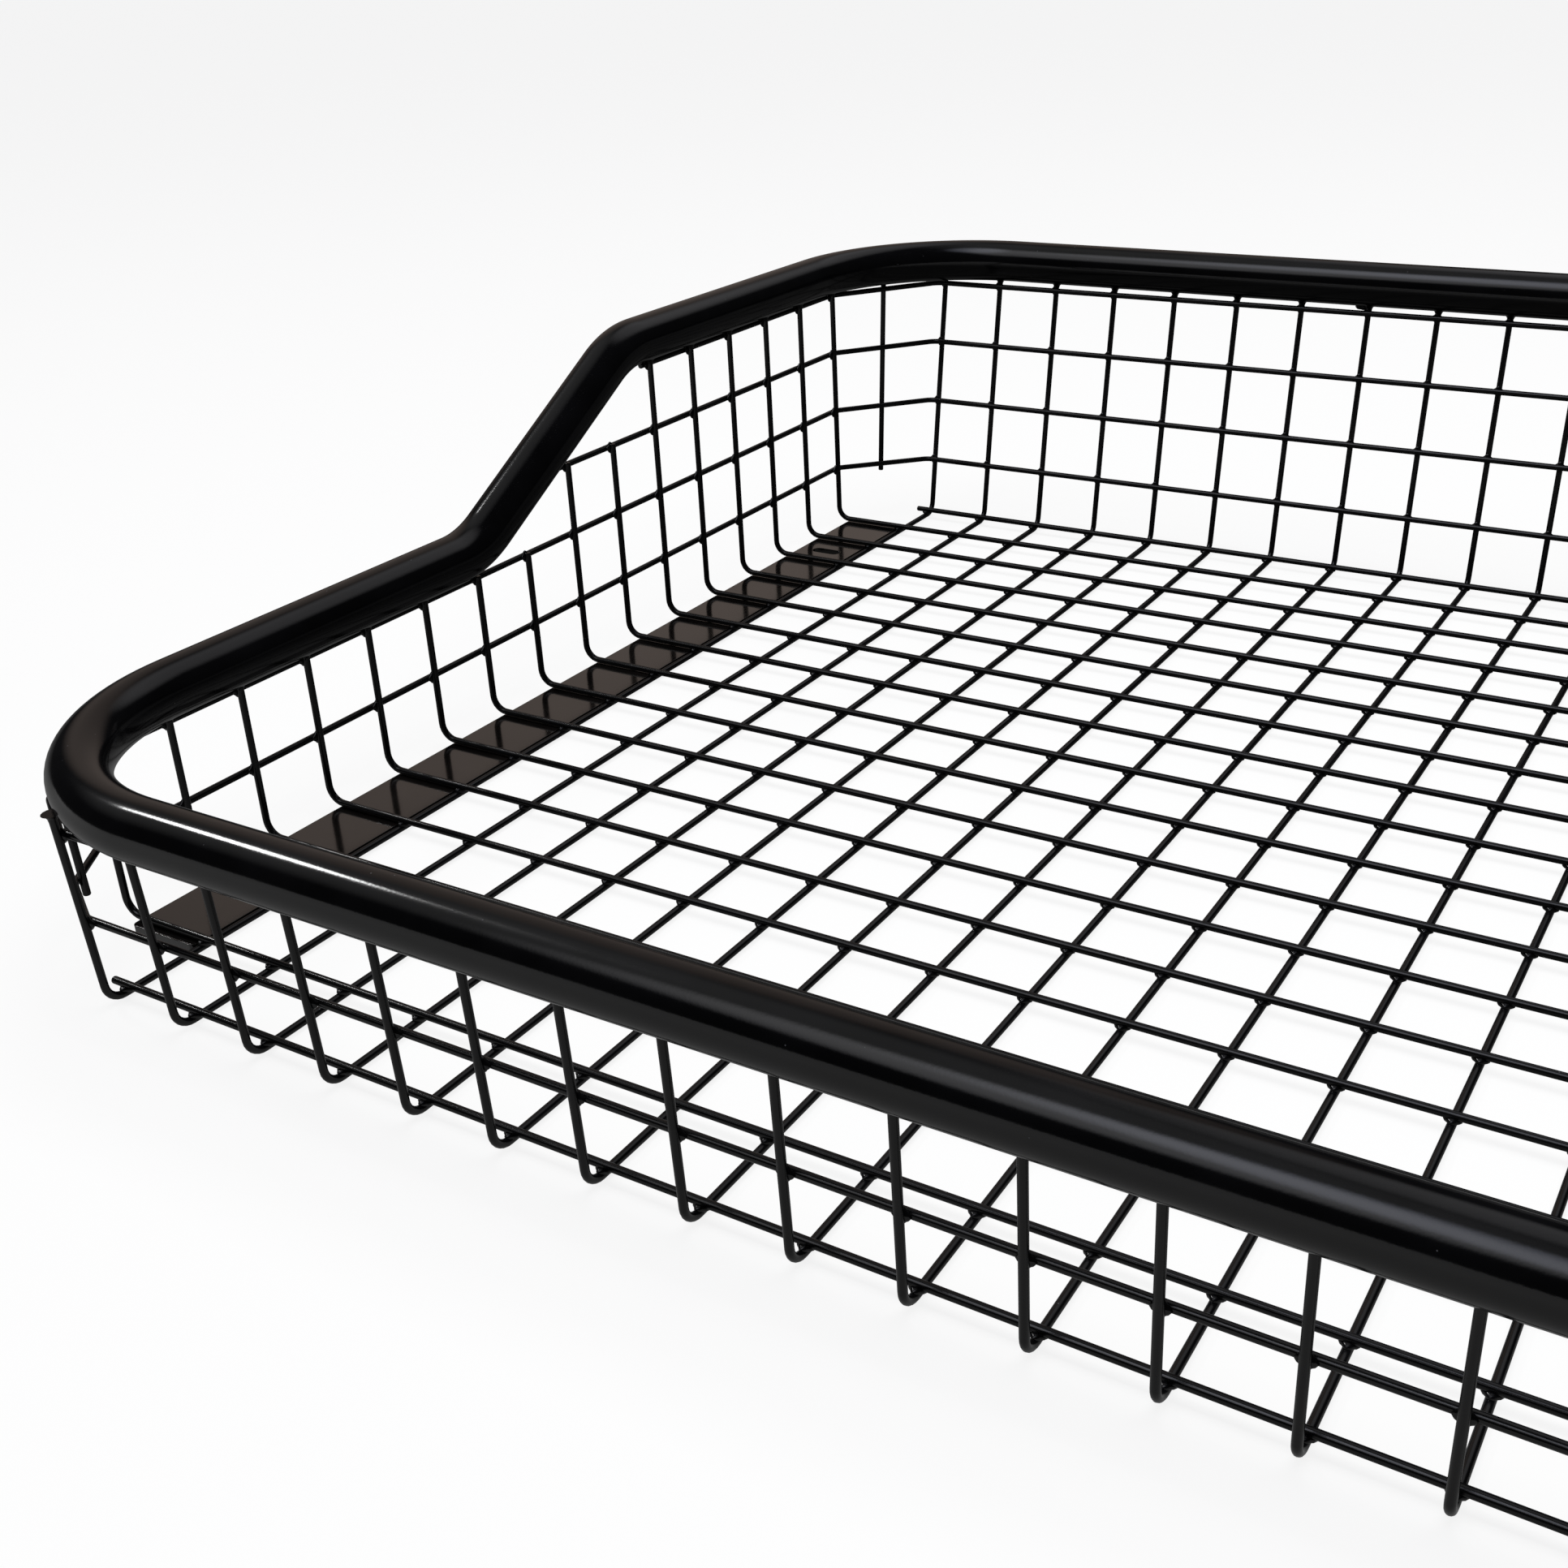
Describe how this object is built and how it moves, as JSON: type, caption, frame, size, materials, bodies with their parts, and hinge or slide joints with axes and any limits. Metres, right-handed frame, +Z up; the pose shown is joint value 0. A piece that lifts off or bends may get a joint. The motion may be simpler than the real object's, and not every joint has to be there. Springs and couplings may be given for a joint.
{
  "type": "wire luggage basket",
  "caption": "Welded black wire luggage basket with a round tube rim that steps up toward the back, on flat slotted bars that fix it to a vehicle rack.",
  "frame": {"origin": "centre of the bounding box in X and Y, on the plane of the mounting bars' undersides", "axes": "+X across the basket to its right, +Y from the low front to the high back, +Z up"},
  "size_m": [1.1646, 0.9534, 0.2309],
  "materials": {
    "coated_wire": "satin black powder coat",
    "coated_tube": "satin black powder coat",
    "coated_bar": "gloss black powder coat",
    "sleeve_steel": "bare drawn steel"
  },
  "bodies": {
    "root": {"crosswise_wire_01": "coated_wire", "crosswise_wire_02": "coated_wire", "crosswise_wire_03": "coated_wire", "crosswise_wire_04": "coated_wire", "crosswise_wire_05": "coated_wire", "crosswise_wire_06": "coated_wire", "crosswise_wire_07": "coated_wire", "crosswise_wire_08": "coated_wire", "crosswise_wire_09": "coated_wire", "crosswise_wire_10": "coated_wire", "crosswise_wire_11": "coated_wire", "crosswise_wire_12": "coated_wire", "crosswise_wire_13": "coated_wire", "crosswise_wire_14": "coated_wire", "crosswise_wire_15": "coated_wire", "crosswise_wire_16": "coated_wire", "crosswise_wire_17": "coated_wire", "crosswise_wire_18": "coated_wire", "lengthwise_wire_01": "coated_wire", "lengthwise_wire_02": "coated_wire", "lengthwise_wire_03": "coated_wire", "lengthwise_wire_04": "coated_wire", "lengthwise_wire_05": "coated_wire", "lengthwise_wire_06": "coated_wire", "lengthwise_wire_07": "coated_wire", "lengthwise_wire_08": "coated_wire", "lengthwise_wire_09": "coated_wire", "lengthwise_wire_10": "coated_wire", "lengthwise_wire_11": "coated_wire", "lengthwise_wire_12": "coated_wire", "lengthwise_wire_13": "coated_wire", "lengthwise_wire_14": "coated_wire", "lengthwise_wire_15": "coated_wire", "lengthwise_wire_16": "coated_wire", "lengthwise_wire_17": "coated_wire", "lengthwise_wire_18": "coated_wire", "lengthwise_wire_19": "coated_wire", "lengthwise_wire_20": "coated_wire", "lengthwise_wire_21": "coated_wire", "ring_1_lowest": "coated_wire", "ring_2_under_low_rim": "coated_wire", "ring_3_high_part": "coated_wire", "ring_4_under_high_rim": "coated_wire", "corner_upright_back_left": "coated_wire", "corner_upright_back_right": "coated_wire", "corner_upright_front_left": "coated_wire", "corner_upright_front_right": "coated_wire", "rim_tube": "coated_tube", "mounting_bar_left": "coated_bar", "mounting_bar_right": "coated_bar", "rim_sleeve_back": "sleeve_steel"}
  },
  "joints": []
}
